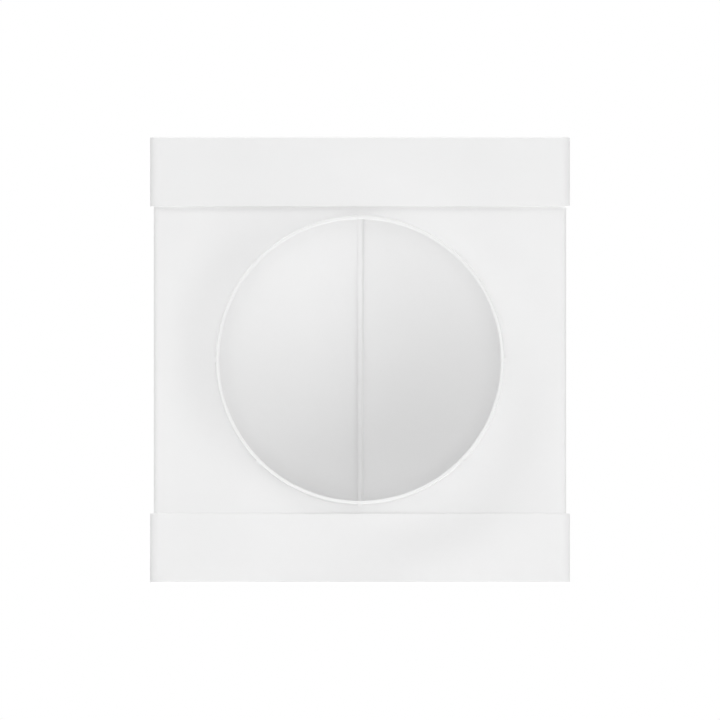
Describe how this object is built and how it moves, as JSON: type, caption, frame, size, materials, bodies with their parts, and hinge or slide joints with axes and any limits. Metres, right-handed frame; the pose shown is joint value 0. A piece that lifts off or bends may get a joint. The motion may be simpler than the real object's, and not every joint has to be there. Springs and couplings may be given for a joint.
{
  "type": "duct tee",
  "caption": "Moulded plastic tee for flat rectangular ventilation duct, with a push-in socket at each end of the run and a round branch socket on its wide face.",
  "frame": {"origin": "centre of the lower flat socket's mouth, on the axis of the run", "axes": "+Z along the run towards the upper flat socket, -Y out of the round branch, +X across the wide face"},
  "size_m": [0.2246, 0.1286, 0.2388],
  "materials": {
    "white_plastic": "satin moulded"
  },
  "bodies": {
    "root": {"tee_body": "white_plastic"}
  },
  "joints": []
}
